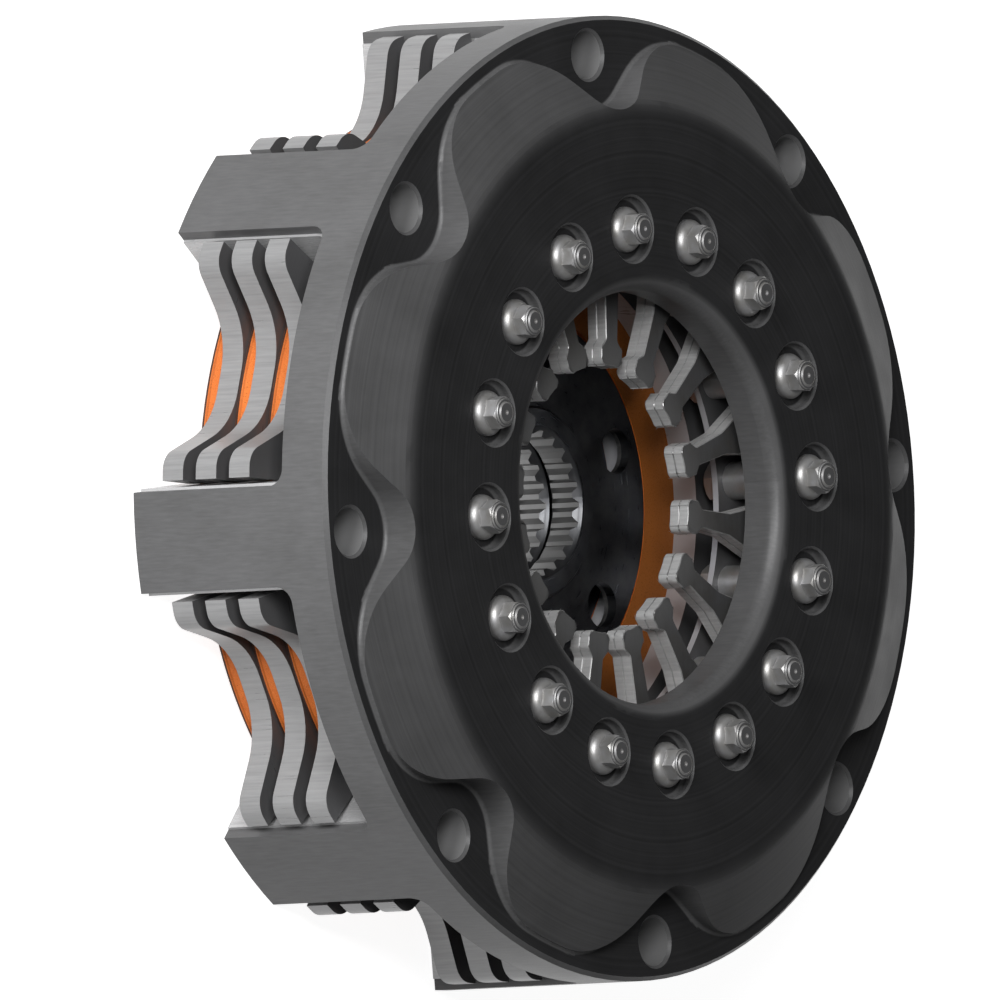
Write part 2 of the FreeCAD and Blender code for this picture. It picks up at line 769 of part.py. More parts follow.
def slot_outline():
    """The gap between two fingers: along the tip, the neck and the root of the fingers on
    either side, and round the pivot sleeve at its outer end. It points along +X."""
    half_pitch = math.radians(pivot_pitch_deg / 2)
    along = vec(math.cos(half_pitch), math.sin(half_pitch))
    across = vec(math.sin(half_pitch), -math.cos(half_pitch))

    def beside(distance, half_width, radius):
        spot = along * (finger_tip_r + distance) + across * half_width
        return (spot.x, spot.y, radius)

    end_r = sleeve_d / 2 + slot_end_clearance
    root = beside(finger_root_start, finger_root_half_width, 0.0)
    centre = vec(pivot_circle_r, 0)
    to_root = vec(root[0], root[1]) - centre
    touch = math.atan2(to_root.y, to_root.x) - math.acos(end_r / to_root.Length)
    touch_point = centre + vec(math.cos(touch), math.sin(touch)) * end_r
    square = finger_tip_half_width - finger_tip_corner_r
    upper = [
        beside(-finger_slot_run_in, square, 0.0),
        beside(0.0, square, 0.0),
        beside(0.0, finger_tip_half_width, finger_tip_corner_r),
        beside(finger_tip_length, finger_tip_half_width, finger_corner_r),
        beside(finger_neck_start, finger_neck_half_width, finger_corner_r),
        (root[0], root[1], finger_corner_r),
        (touch_point.x, touch_point.y, 0.0),
        (pivot_circle_r + end_r / math.sqrt(2), 0.0, 0.0),
    ]
    lower = [(x, -y, r) for x, y, r in reversed(upper[:-1])]
    return rounded_wire(upper + lower)


def diaphragm_spring(offset):
    """A shallow steel cone with a bulb at the tip of each finger. The two springs lie on
    each other; offset is how far below the pack's front face this one starts."""
    points = [
        (finger_tip_r, spring_front_z(finger_tip_r) - offset),
        (spring_outer_r, spring_front_z(spring_outer_r) - offset),
        (spring_outer_r, spring_front_z(spring_outer_r) - offset - spring_height),
        (finger_tip_r, spring_front_z(finger_tip_r) - offset - spring_height),
    ]
    cone = revolved(points)
    low = spring_back_z(spring_outer_r) - overshoot
    tall = spring_front_z(finger_tip_r) - low + overshoot
    slot = prism(slot_outline(), low, tall)
    end_r = sleeve_d / 2 + slot_end_clearance
    slot = slot.fuse(Part.makeCylinder(end_r, tall, vec(pivot_circle_r, 0, low)))
    for cutter in around(slot, pivot_count):
        cone = cone.cut(cutter)
    return cone


# Fulcrum parts

def fulcrum_ring(height_z):
    return Part.makeTorus(fulcrum_circle_r, fulcrum_wire_r, vec(0, 0, height_z), vec(0, 0, 1))


def support_ring():
    """Flat ring under the sleeves, which the heads of the pivot bolts pull forward."""
    body = ring(support_ring_outer_r, support_ring_inner_r, support_bottom_z, support_top_z)
    hole_r = pivot_bolt_d / 2 + pivot_hole_clearance
    hole = Part.makeCylinder(hole_r, top_z, vec(pivot_circle_r, 0, 0))
    for cutter in around(hole, pivot_count):
        body = body.cut(cutter)
    return body


def hexagon(across_flats, bottom_z, height, turn_deg):
    """A hexagonal prism on the pivot circle, turned from having a flat face outwards."""
    corner_r = across_flats / math.sqrt(3)
    points = []
    for k in range(6):
        spot = polar(corner_r, 30.0 + 60.0 * k + turn_deg)
        points.append(vec(spot.x + pivot_circle_r, spot.y, bottom_z))
    wire = Part.makePolygon(points + [points[0]])
    return Part.Face(wire).extrude(vec(0, 0, height))


def pivot_bolts():
    """Small hexagon head bolts, put in from behind."""
    head = hexagon(
        pivot_head_across_flats, pivot_head_bottom_z, pivot_head_height, pivot_head_turn_deg
    )
    bevel_r = pivot_head_across_flats / math.sqrt(3) - pivot_head_bevel
    bevel_foot = vec(pivot_circle_r, 0, pivot_head_bottom_z)
    bevel = Part.makeCone(bevel_r, bevel_r + pivot_head_height, pivot_head_height, bevel_foot)
    head = head.common(bevel)
    shank_r = pivot_bolt_d / 2
    length = bolt_end_z - support_bottom_z
    shank = Part.makeCylinder(shank_r, length, vec(pivot_circle_r, 0, support_bottom_z))
    shank = shank.makeChamfer(bolt_end_chamfer, [top_rim_edge(shank, bolt_end_z, shank_r)])
    return Part.makeCompound(around(head.fuse(shank), pivot_count))


def pivot_sleeves():
    """Round distance sleeves between support ring and cover, one on each pivot bolt."""
    bore_r = pivot_bolt_d / 2 + sleeve_bore_clearance
    height = ceiling_z - support_top_z
    foot = vec(pivot_circle_r, 0, support_top_z)
    sleeve = Part.makeCylinder(sleeve_d / 2, height, foot)
    sleeve = sleeve.cut(Part.makeCylinder(bore_r, height, foot))
    return Part.makeCompound(around(sleeve, pivot_count))


def lock_nuts():
    """Flanged self locking nuts: a domed flange, a hexagon and a round locking collar."""
    rim_top = pocket_floor_z + nut_flange_rim
    dome_top = rim_top + nut_dome_height
    hex_top = dome_top + nut_hex_height
    collar_top = hex_top + nut_collar_height
    flange_nut_r = nut_flange_d / 2
    flat_r = nut_across_flats / 2
    corner_r = nut_across_flats / math.sqrt(3)
    # The bulging side of the flange is an arc between its rim and the foot of the hexagon
    start = vec(flange_nut_r, 0, rim_top)
    end = vec(flat_r, 0, dome_top)
    chord = end - start
    outward = vec(chord.z, 0, -chord.x)
    outward.normalize()
    bulge = (start + end) * 0.5 + outward * nut_dome_bulge
    edges = [
        Part.makeLine(vec(0, 0, pocket_floor_z), vec(flange_nut_r, 0, pocket_floor_z)),
        Part.makeLine(vec(flange_nut_r, 0, pocket_floor_z), start),
        arc_edge(start, bulge, end),
        Part.makeLine(end, vec(0, 0, dome_top)),
        Part.makeLine(vec(0, 0, dome_top), vec(0, 0, pocket_floor_z)),
    ]
    flange = Part.Face(Part.Wire(edges)).revolve(vec(0, 0), vec(0, 0, 1), 360)
    flange.translate(vec(pivot_circle_r, 0))
    hexagonal = hexagon(nut_across_flats, rim_top, hex_top - rim_top, 0.0)
    bevel_r = corner_r - nut_hex_bevel
    bevel_height = hex_top - rim_top
    bevel_foot = vec(pivot_circle_r, 0, rim_top)
    bevel = Part.makeCone(bevel_r + bevel_height, bevel_r, bevel_height, bevel_foot)
    hexagonal = hexagonal.common(bevel)
    collar = Part.makeCylinder(nut_collar_d / 2, collar_top - hex_top, vec(pivot_circle_r, 0, hex_top))
    nut = flange.fuse(hexagonal).fuse(collar).removeSplitter()
    bore = Part.makeCylinder(pivot_bolt_d / 2, nut_height, vec(pivot_circle_r, 0, pocket_floor_z))
    return Part.makeCompound(around(nut.cut(bore), pivot_count))


def build_nodes():
    """Every node of the clutch, by name."""
    nodes = {"clutch_cover": clutch_cover()}
    liner = leg_liner()
    for k in range(leg_count):
        nodes["leg_liner_%d" % (k + 1)] = turned(liner, k * leg_pitch_deg)
    nodes["diaphragm_spring_front"] = diaphragm_spring(0.0)
    nodes["diaphragm_spring_rear"] = diaphragm_spring(spring_height)
    nodes["fulcrum_ring_front"] = fulcrum_ring(front_wire_z)
    nodes["fulcrum_ring_rear"] = fulcrum_ring(rear_wire_z)
    nodes["support_ring"] = support_ring()
    nodes["pivot_bolts"] = pivot_bolts()
    nodes["pivot_sleeves"] = pivot_sleeves()
    nodes["lock_nuts"] = lock_nuts()
    nodes["pressure_plate"] = pressure_plate()
    for k in range(driven_count - 1):
        nodes["intermediate_plate_%d" % (k + 1)] = intermediate_plate(k)
    for k in range(driven_count):
        nodes["driven_hub_%d" % (k + 1)] = driven_hub(k)
        nodes["core_disc_%d" % (k + 1)] = core_disc(k)
        nodes["front_lining_%d" % (k + 1)] = front_lining(k)
        nodes["rear_lining_%d" % (k + 1)] = rear_lining(k)
    return nodes


os.makedirs("parts", exist_ok=True)
for name, shape in build_nodes().items():
    shape.exportStep("parts/" + name + ".step")
    solids = shape.Solids
    volume = sum(solid.Volume for solid in solids)
    print("%-26s solids %3d  volume %10.2f mm3  valid %s" % (name, len(solids), volume, shape.isValid()))
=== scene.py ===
# %% [markdown]
# Dressing a race clutch.
# The machined solids of the clutch are already there, each in its own place. This lesson
# gives every one of them its finish, models the small fasteners anew with their fine
# edges, and sets the clutch on a pale floor under soft studio light.

# %% Load the frame
import json
import math
import bpy
from mathutils import Matrix, Vector


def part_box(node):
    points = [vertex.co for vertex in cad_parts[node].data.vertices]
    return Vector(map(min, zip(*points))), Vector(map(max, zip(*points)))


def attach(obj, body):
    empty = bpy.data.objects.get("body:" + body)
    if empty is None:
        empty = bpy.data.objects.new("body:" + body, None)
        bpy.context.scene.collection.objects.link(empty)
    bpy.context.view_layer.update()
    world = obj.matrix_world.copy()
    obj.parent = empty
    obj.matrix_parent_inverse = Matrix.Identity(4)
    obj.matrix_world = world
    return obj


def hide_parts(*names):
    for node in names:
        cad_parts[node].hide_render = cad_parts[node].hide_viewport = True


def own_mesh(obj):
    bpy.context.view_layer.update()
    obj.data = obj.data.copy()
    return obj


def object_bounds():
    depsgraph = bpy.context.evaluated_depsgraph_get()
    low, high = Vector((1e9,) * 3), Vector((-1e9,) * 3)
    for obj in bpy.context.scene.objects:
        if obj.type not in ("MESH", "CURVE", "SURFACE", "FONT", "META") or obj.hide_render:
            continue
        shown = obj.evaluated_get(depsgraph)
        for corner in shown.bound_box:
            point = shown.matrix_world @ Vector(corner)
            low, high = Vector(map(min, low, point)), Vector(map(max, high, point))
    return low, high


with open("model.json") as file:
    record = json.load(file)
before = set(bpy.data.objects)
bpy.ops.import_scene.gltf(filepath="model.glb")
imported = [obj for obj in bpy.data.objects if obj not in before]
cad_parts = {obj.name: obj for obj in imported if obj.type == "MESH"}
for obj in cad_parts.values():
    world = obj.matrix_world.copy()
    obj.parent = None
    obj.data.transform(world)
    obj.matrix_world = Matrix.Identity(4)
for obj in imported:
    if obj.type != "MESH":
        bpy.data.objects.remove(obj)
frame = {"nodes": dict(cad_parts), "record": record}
cad_low, cad_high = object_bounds()
nodes = frame["nodes"]
print("nodes", len(nodes), "box in mm", [round(v * 1000, 1) for v in cad_high - cad_low])

# %% [markdown]
# Units and the main measures.
# Blender works in metres here, and a clutch is drawn in millimetres, so one factor turns
# the one into the other. The heights that the new pieces need are read from the solids
# themselves, so that a new nut sits where the machined pocket is. The circle and pitch of
# the bolts are given as numbers.

# %% Measures
MM = 0.001
PIVOT_COUNT = 16
PIVOT_CIRCLE = 46.95 * MM
LEG_PITCH = math.radians(45.0)
BOLT_RADIUS = 77.8 * MM
nut_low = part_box("lock_nuts")[0]
bolt_low, bolt_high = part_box("pivot_bolts")
SEAT = nut_low.z / MM
print("nut seat at", round(SEAT, 2), "mm, bolt ends at", round(bolt_high.z / MM, 2), "mm")

# %% [markdown]
# A small kit for finishes.
# Every finish is a node tree that starts at the object's own coordinates, so the marks of
# the cutter stay on the metal when the piece turns. Short helpers keep the trees easy to
# read: they add a node, join two sockets, map a value to a range, and measure where a spot
# lies, such as its distance from the axis or whether its face is square to it.

# %% Helpers for finishes
class Finish:
    """A material with its principled shader, and short ways to add nodes to it."""

    def __init__(self, name, colour, metallic, roughness):
        self.material = bpy.data.materials.new(name)
        self.material.use_nodes = True
        self.tree = self.material.node_tree
        self.shader = self.tree.nodes["Principled BSDF"]
        self.shader.inputs["Base Color"].default_value = (*colour, 1.0)
        self.shader.inputs["Metallic"].default_value = metallic
        self.shader.inputs["Roughness"].default_value = roughness
        self.place = self.node("ShaderNodeTexCoord")
        self.position = self.place.outputs["Object"]

    def node(self, kind, **settings):
        made = self.tree.nodes.new(kind)
        for key, value in settings.items():
            setattr(made, key, value)
        return made

    def join(self, source, target):
        self.tree.links.new(source, target)

    def math(self, operation, first, second=0.0, clamp=False):
        made = self.node("ShaderNodeMath", operation=operation, use_clamp=clamp)
        for socket, value in zip(made.inputs, (first, second)):
            if isinstance(value, (int, float)):
                socket.default_value = value
            else:
                self.join(value, socket)
        return made.outputs[0]

    def spread(self, value, low, high, new_low=0.0, new_high=1.0):
        """Maps a value from one range to another, and keeps it there."""
        made = self.node("ShaderNodeMapRange", clamp=True)
        self.join(value, made.inputs["Value"])
        for name, number in zip(("From Min", "From Max", "To Min", "To Max"),
                                (low, high, new_low, new_high)):
            made.inputs[name].default_value = number
        return made.outputs[0]

    def stretched(self, sx, sy, sz):
        """The object's coordinates, scaled apart along each axis."""
        made = self.node("ShaderNodeMapping")
        made.inputs["Scale"].default_value = (sx, sy, sz)
        self.join(self.position, made.inputs["Vector"])
        return made.outputs[0]

    def noise(self, vector, scale, detail=3.0, rough=0.55):
        made = self.node("ShaderNodeTexNoise")
        made.inputs["Scale"].default_value = scale
        made.inputs["Detail"].default_value = detail
        made.inputs["Roughness"].default_value = rough
        self.join(vector, made.inputs["Vector"])
        return made.outputs["Fac"]

    def radius(self):
        """Distance from the clutch axis."""
        flat = self.node("ShaderNodeVectorMath", operation="MULTIPLY")
        flat.inputs[1].default_value = (1.0, 1.0, 0.0)
        self.join(self.position, flat.inputs[0])
        size = self.node("ShaderNodeVectorMath", operation="LENGTH")
        self.join(flat.outputs[0], size.inputs[0])
        return size.outputs["Value"]

    def turned_marks(self, scale, detail=2.0):
        """Fine rings about the clutch axis, as a turning tool leaves them."""
        made = self.node("ShaderNodeTexNoise", noise_dimensions="1D")
        made.inputs["Scale"].default_value = scale
        made.inputs["Detail"].default_value = detail
        self.join(self.radius(), made.inputs["W"])
        return made.outputs["Fac"]

    def bolt_distance(self):
        """Distance from the axis of the nearest bolt hole. There is one in each leg."""
        split = self.node("ShaderNodeSeparateXYZ")
        self.join(self.position, split.inputs[0])
        angle = self.math("ARCTAN2", split.outputs["Y"], split.outputs["X"])
        turned = self.math("ADD", angle, LEG_PITCH / 2)
        folded = self.math("SUBTRACT", self.math("FLOORED_MODULO", turned, LEG_PITCH), LEG_PITCH / 2)
        reach = self.radius()
        forward = self.math("MULTIPLY", reach, self.math("COSINE", folded))
        along = self.math("SUBTRACT", forward, BOLT_RADIUS)
        across = self.math("MULTIPLY", reach, self.math("SINE", folded))
        squares = (self.math("MULTIPLY", side, side) for side in (along, across))
        return self.math("SQRT", self.math("ADD", *squares))

    def facing(self, low=0.6, high=0.9):
        """1 on faces square to the clutch axis, 0 on walls."""
        split = self.node("ShaderNodeSeparateXYZ")
        self.join(self.place.outputs["Normal"], split.inputs[0])
        return self.spread(self.math("ABSOLUTE", split.outputs["Z"]), low, high)

    def choose(self, factor, first, second):
        """A number that goes from the first to the second with the factor."""
        made = self.node("ShaderNodeMix", data_type="FLOAT")
        for socket, value in zip(made.inputs[:1] + made.inputs[2:4], (factor, first, second)):
            if isinstance(value, (int, float)):
                socket.default_value = value
            else:
                self.join(value, socket)
        return made.outputs[0]

    def tint(self, factor, first, second):
        """A colour that goes from the first to the second with the factor."""
        made = self.node("ShaderNodeMix", data_type="RGBA")
        self.join(factor, made.inputs[0])
        for socket, value in zip(made.inputs[6:8], (first, second)):
            if isinstance(value, tuple):
                socket.default_value = (*value, 1.0)
            else:
                self.join(value, socket)
        return made.outputs[2]

    def colour(self, value):
        self.join(value, self.shader.inputs["Base Color"])

    def roughness(self, value):
        self.join(value, self.shader.inputs["Roughness"])

    def relief(self, height, depth, strength=1.0):
        """Bump of a given depth in metres."""
        made = self.node("ShaderNodeBump")
        made.inputs["Distance"].default_value = depth
        made.inputs["Strength"].default_value = strength
        self.join(height, made.inputs["Height"])
        self.join(made.outputs[0], self.shader.inputs["Normal"])


def grey(value, blue=1.0):
    return (value, value, value * blue)


print("finish kit ready")

# %% [markdown]
# Black anodised aluminium.
# The cover is milled from a bar and hard anodised. Its flat faces keep fine rings from the
# lathe, its walls keep the upright steps of the milling cutter, and the oxide has a dull
# grain. One could paint all of it one dark grey, but the marks are what makes metal read
# as metal, so rings and steps are mixed by how a face lies to the clutch axis. The faces
# square to the axis are painted much darker than the walls, as painted shade. The bolt
# holes are drilled after the anodising, so their bores are bare and brighter, and they are
# painted brighter still, as painted light in the holes' own shade.

# %% Dark anodised aluminium
DRILLED_BORE_PAINTED_LIGHT_REACH = (5.2 * MM, 5.6 * MM)


def dark_anodised():
    f = Finish("dark_anodised", grey(0.15, 1.02), 0.2, 0.42)
    f.shader.inputs["Specular IOR Level"].default_value = 0.18
    rings = f.turned_marks(1500.0)
    steps = f.noise(f.stretched(1.0, 1.0, 0.12), 2200.0, 2.0)
    grain = f.noise(f.position, 5200.0, 3.0)
    clouds = f.noise(f.position, 70.0, 4.0, 0.6)
    flat = f.facing()
    marks = f.choose(flat, steps, rings)
    tone = f.math("ADD", f.math("MULTIPLY", marks, 0.45), f.math("MULTIPLY", clouds, 0.55))
    # Walls keep the cover's own grey; faces square to the axis get far darker greys as painted shade.
    walls = f.tint(f.spread(tone, 0.3, 0.7), grey(0.108, 1.01), grey(0.158, 1.02))
    turned = f.tint(f.spread(tone, 0.3, 0.7), grey(0.026, 1.03), grey(0.045, 1.04))
    skin = f.tint(f.facing(0.87, 0.995), walls, turned)
    # Bores at the bolt holes: bare drilled metal, painted brighter still as painted light in the holes'
    # shade.
    drilled_and_painted_light = f.math("MULTIPLY", f.spread(f.bolt_distance(), *DRILLED_BORE_PAINTED_LIGHT_REACH, 1.0, 0.0),
                     f.math("SUBTRACT", 1.0, f.facing(0.3, 0.6)))
    f.colour(f.tint(drilled_and_painted_light, skin, grey(0.27, 1.01)))
    f.roughness(f.spread(f.math("ADD", clouds, f.math("MULTIPLY", grain, 0.6)), 0.5, 1.1, 0.33, 0.5))
    height = f.math("ADD", f.math("MULTIPLY", marks, 0.8), f.math("MULTIPLY", grain, 0.35))
    f.relief(height, 0.00003, 0.55)
    return f.material


# %% [markdown]
# Ground steel plates.
# The floater plates and the pressure plate are blanked, then ground flat on both faces.
# The rims keep upright drag lines from the cut, and the faces show crossed grinding arcs.
# The flat faces are painted dark, as painted shade. The bores are turned last, and they
# are painted the brightest, partly for the bright cut and partly as painted light in the
# shade of the cover. Heat leaves faint brown clouds.

# %% Ground steel
TURNED_BORE_PAINTED_LIGHT_REACH = (52 * MM, 56 * MM)


def ground_steel():
    f = Finish("ground_steel", grey(0.45), 0.3, 0.4)
    f.shader.inputs["Specular IOR Level"].default_value = 0.35
    drag = f.noise(f.stretched(1.0, 1.0, 0.05), 1900.0, 3.0)
    arcs = f.turned_marks(2400.0, 3.0)
    cross = f.noise(f.stretched(1.0, 0.06, 1.0), 1500.0, 2.0)
    clouds = f.noise(f.position, 90.0, 4.0, 0.6)
    flat = f.facing()
    face = f.math("ADD", f.math("MULTIPLY", arcs, 0.6), f.math("MULTIPLY", cross, 0.4))
    marks = f.choose(flat, drag, face)
    base = f.tint(f.spread(marks, 0.3, 0.7), grey(0.27, 1.01), grey(0.34, 1.01))
    wall = f.math("SUBTRACT", 1.0, flat)
    # The turned bores are painted bright: partly their bright cut, partly painted light.
    bore = f.math("MULTIPLY", f.spread(f.radius(), *TURNED_BORE_PAINTED_LIGHT_REACH, 1.0, 0.0), wall)
    base = f.tint(bore, base, grey(0.62, 1.04))
    # Faces square to the axis are painted dark grey: painted shade.
    base = f.tint(f.math("MULTIPLY", flat, 0.85), base, grey(0.10, 1.04))
    heat = f.math("MULTIPLY", f.spread(clouds, 0.5, 0.72), f.math("MULTIPLY", flat, 0.3))
    f.colour(f.tint(heat, base, (0.12, 0.105, 0.095)))
    f.roughness(f.spread(f.math("ADD", marks, clouds), 0.7, 1.3, 0.26, 0.44))
    f.relief(marks, 0.00003, 0.5)
    return f.material


# %% [markdown]
# Spring steel.
# The two diaphragm springs are pressed from rolled strip, hardened and shot peened, so
# their skin is a field of tiny dimples with a faint bronze and blue cast from tempering.
# Their faces are dark, partly the tempered steel's tone and partly painted shade. Their
# cut edges are painted bright, partly for the ground cut and partly as painted light, and
# the finger tips polish where the release bearing runs.

# %% Spring steel
POLISHED_REACH = (24.5 * MM, 29 * MM)


def spring_steel():
    f = Finish("spring_steel", grey(0.42), 0.35, 0.42)
    dimples = f.node("ShaderNodeTexVoronoi", feature="SMOOTH_F1")
    dimples.inputs["Scale"].default_value = 2300.0
    dimples.inputs["Smoothness"].default_value = 0.6
    f.join(f.position, dimples.inputs["Vector"])
    clouds = f.noise(f.position, 110.0, 4.0, 0.6)
    streaks = f.noise(f.stretched(1.0, 0.08, 1.0), 1300.0, 2.0)
    # The faces' dark greys are partly the tempered steel's tone and partly painted shade.
    base = f.tint(f.spread(clouds, 0.35, 0.68), (0.118, 0.114, 0.108), (0.150, 0.152, 0.160))
    base = f.tint(f.spread(streaks, 0.45, 0.8, 0.0, 0.4), base, grey(0.095))
    drag = f.noise(f.stretched(1.0, 1.0, 0.1), 1900.0)
    # The cut edges are painted bright, partly for the ground cut and partly as painted light.
    edges = f.tint(f.spread(drag, 0.3, 0.7), grey(0.70), grey(0.88))
    base = f.tint(f.facing(0.5, 0.9), edges, base)
    tips = f.spread(f.radius(), *POLISHED_REACH, 0.7, 0.0)
    polished = f.math("MULTIPLY", tips, f.facing(0.5, 0.9))
    f.colour(f.tint(polished, base, grey(0.20)))
    dull = f.spread(f.math("ADD", clouds, streaks), 0.7, 1.3, 0.3, 0.46)
    f.roughness(f.choose(polished, dull, 0.3))
    f.relief(f.math("ADD", dimples.outputs["Distance"], f.math("MULTIPLY", streaks, 0.4)), 0.00004, 0.35)
    return f.material


# %% [markdown]
# Bright steel of the liners and of the small fasteners.
# The liners are folded from bright rolled sheet, and the nuts are zinc plated. Both are
# the brightest metal of the clutch. The sheet shows long scratches where the lugs of the
# plates slide on it, and the plating has a soft, slightly warm cloudiness. The nuts' faces
# square to the clutch axis are painted darker, as painted shade.

# %% Liner steel and plated fasteners
def liner_steel():
    f = Finish("liner_steel", grey(0.8), 0.3, 0.4)
    slides = f.noise(f.stretched(1.0, 1.0, 0.03), 2600.0, 3.0)
    clouds = f.noise(f.position, 160.0, 3.0, 0.6)
    f.colour(f.tint(f.spread(slides, 0.35, 0.7), grey(0.56, 1.01), grey(0.46, 1.01)))
    f.roughness(f.spread(f.math("ADD", slides, clouds), 0.7, 1.3, 0.2, 0.4))
    f.relief(slides, 0.00002, 0.4)
    return f.material


def plated_steel():
    f = Finish("plated_steel", grey(0.66), 0.75, 0.34)
    clouds = f.noise(f.position, 420.0, 4.0, 0.6)
    grain = f.noise(f.position, 6000.0, 2.0)
    skin = f.tint(f.spread(clouds, 0.35, 0.68), (0.53, 0.52, 0.50), grey(0.62, 1.02))
    # Faces square to the clutch axis are painted darker grey: painted shade.
    f.colour(f.tint(f.facing(0.9, 0.99), skin, grey(0.24, 1.02)))
    f.roughness(f.spread(f.math("ADD", clouds, grain), 0.7, 1.3, 0.36, 0.52))
    f.relief(grain, 0.00001, 0.5)
    return f.material


# %% [markdown]
# Black oxide hub and rolled core.
# The splined hubs are turned and blacked in a hot salt bath, which leaves a deep blue
# black with a soft sheen. The spline is broached last, and its teeth are painted brighter,
# as painted light in the shaded bore. The core disc is rolled sheet, lighter and brushed
# one way.

# %% Black oxide and rolled sheet
SPLINE_REACH = (13.2 * MM, 13.6 * MM)


def black_oxide():
    f = Finish("black_oxide", grey(0.12, 1.1), 1.0, 0.36)
    rings = f.turned_marks(1900.0)
    clouds = f.noise(f.position, 240.0, 4.0, 0.6)
    rust = f.noise(f.position, 900.0, 5.0, 0.65)
    base = f.tint(f.spread(clouds, 0.35, 0.68), (0.095, 0.1, 0.112), (0.15, 0.152, 0.16))
    base = f.tint(f.spread(rust, 0.64, 0.8, 0.0, 0.5), base, (0.2, 0.13, 0.09))
    wall = f.math("SUBTRACT", 1.0, f.facing(0.3, 0.8))
    # The spline's teeth are painted brighter: painted light in the shaded bore.
    teeth_painted_light = f.math("MULTIPLY", f.spread(f.radius(), *SPLINE_REACH, 1.0, 0.0), wall)
    f.colour(f.tint(teeth_painted_light, base, grey(0.30)))
    f.roughness(f.spread(f.math("ADD", clouds, rings), 0.7, 1.3, 0.26, 0.46))
    f.relief(rings, 0.00003, 0.5)
    return f.material


def rolled_sheet():
    f = Finish("rolled_sheet", grey(0.34), 1.0, 0.4)
    brush = f.noise(f.stretched(0.05, 1.0, 1.0), 1600.0, 3.0)
    clouds = f.noise(f.position, 120.0, 4.0, 0.6)
    f.colour(f.tint(f.spread(brush, 0.3, 0.7), grey(0.27), grey(0.40)))
    f.roughness(f.spread(f.math("ADD", brush, clouds), 0.7, 1.3, 0.3, 0.5))
    f.relief(brush, 0.00002, 0.4)
    return f.material


# %% [markdown]
# Sintered lining.
# The friction linings are pressed from metal powder and fired. They are matt and orange,
# with dark pores and brighter copper grains. A lining isn't a metal mirror, so it takes no
# metallic share, and its relief carries the pores.
# The flat faces are painted darker, as painted shade. A narrow band at the rear edge of
# each rim is darker. That edge is found by its height above the flywheel's side, which
# repeats with the pitch of the stack.

# %% Sintered lining
FLYWHEEL_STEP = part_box("rear_lining_1")[0].z
STACK_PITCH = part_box("rear_lining_2")[0].z - FLYWHEEL_STEP
REAR_DARK_BAND = 0.55 * MM
DARK_BAND_FADE = 0.08 * MM
RIM_REACH = (69 * MM, 69.2 * MM)


def sintered_lining():
    f = Finish("sintered_lining", (0.80, 0.19, 0.026), 0.0, 0.72)
    grains = f.node("ShaderNodeTexVoronoi", feature="F1")
    grains.inputs["Scale"].default_value = 2600.0
    f.join(f.position, grains.inputs["Vector"])
    powder = f.noise(f.position, 4200.0, 4.0, 0.6)
    clouds = f.noise(f.position, 150.0, 4.0, 0.6)
    base = f.tint(f.spread(clouds, 0.3, 0.7), (0.70, 0.155, 0.020), (0.90, 0.225, 0.034))
    bright = f.spread(f.math("SUBTRACT", 0.5, grains.outputs["Distance"]), 0.12, 0.42, 0.0, 0.35)
    speckled = f.tint(bright, base, (0.98, 0.40, 0.11))
    pores = f.spread(powder, 0.30, 0.42, 0.75, 0.0)
    lining = f.tint(pores, speckled, (0.17, 0.045, 0.012))
    # Flat faces are painted darker: painted shade.
    face_painted_shade = f.tint(pores, (0.30, 0.090, 0.006), (0.07, 0.024, 0.005))
    lining = f.tint(f.math("MULTIPLY", f.facing(0.5, 0.95), 0.9), lining, face_painted_shade)
    split = f.node("ShaderNodeSeparateXYZ")
    f.join(f.position, split.inputs[0])
    above_step = f.math("SUBTRACT", split.outputs["Z"], FLYWHEEL_STEP)
    in_plate = f.math("FLOORED_MODULO", above_step, STACK_PITCH)
    # A narrow dark band at the rear edge of each rim.
    edge = f.spread(in_plate, REAR_DARK_BAND, REAR_DARK_BAND + DARK_BAND_FADE, 1.0, 0.0)
    wall = f.math("SUBTRACT", 1.0, f.facing(0.3, 0.95))
    rim = f.math("MULTIPLY", f.spread(f.radius(), *RIM_REACH), wall)
    f.colour(f.tint(f.math("MULTIPLY", edge, rim), lining, (0.045, 0.018, 0.010)))
    f.roughness(f.spread(powder, 0.3, 0.7, 0.82, 0.6))
    f.relief(powder, 0.00006, 0.6)
    return f.material


finishes = {
    "dark_anodised": dark_anodised(),
    "ground_steel": ground_steel(),
    "spring_steel": spring_steel(),
    "liner_steel": liner_steel(),
    "fastener_steel": plated_steel(),
    "black_steel": black_oxide(),
    "core_steel": rolled_sheet(),
    "sintered_lining": sintered_lining(),
}
print("finishes", sorted(finishes))

# %% [markdown]
# Giving the solids their finishes.
# The clutch's own list says which finish each machined piece has. The solid's material
# slots are filled from it, and the mesh stays as it is.

# %% Assign the finishes
slot_of = {part["node"]: part["material_slot"] for part in frame["record"]["subparts"]}
for name, solid in nodes.items():
    finish = finishes[slot_of[name]]
    solid.data.materials.clear()
    solid.data.materials.append(finish)
print("finished", len(slot_of), "solids")

# %% [markdown]
# Working by hand in code.
# The fasteners are modelled as one would at the screen: a cylinder is added, a face or an
# edge loop is picked by where it lies, and it is extruded, scaled or bevelled. These short
# helpers add a cylinder between two heights, pick faces or edges, draw a top face up
# through a profile, and join or cut pieces with a boolean that is applied at once.

# %% Modelling helpers
ORIGIN = (0.0, 0.0, 0.0)


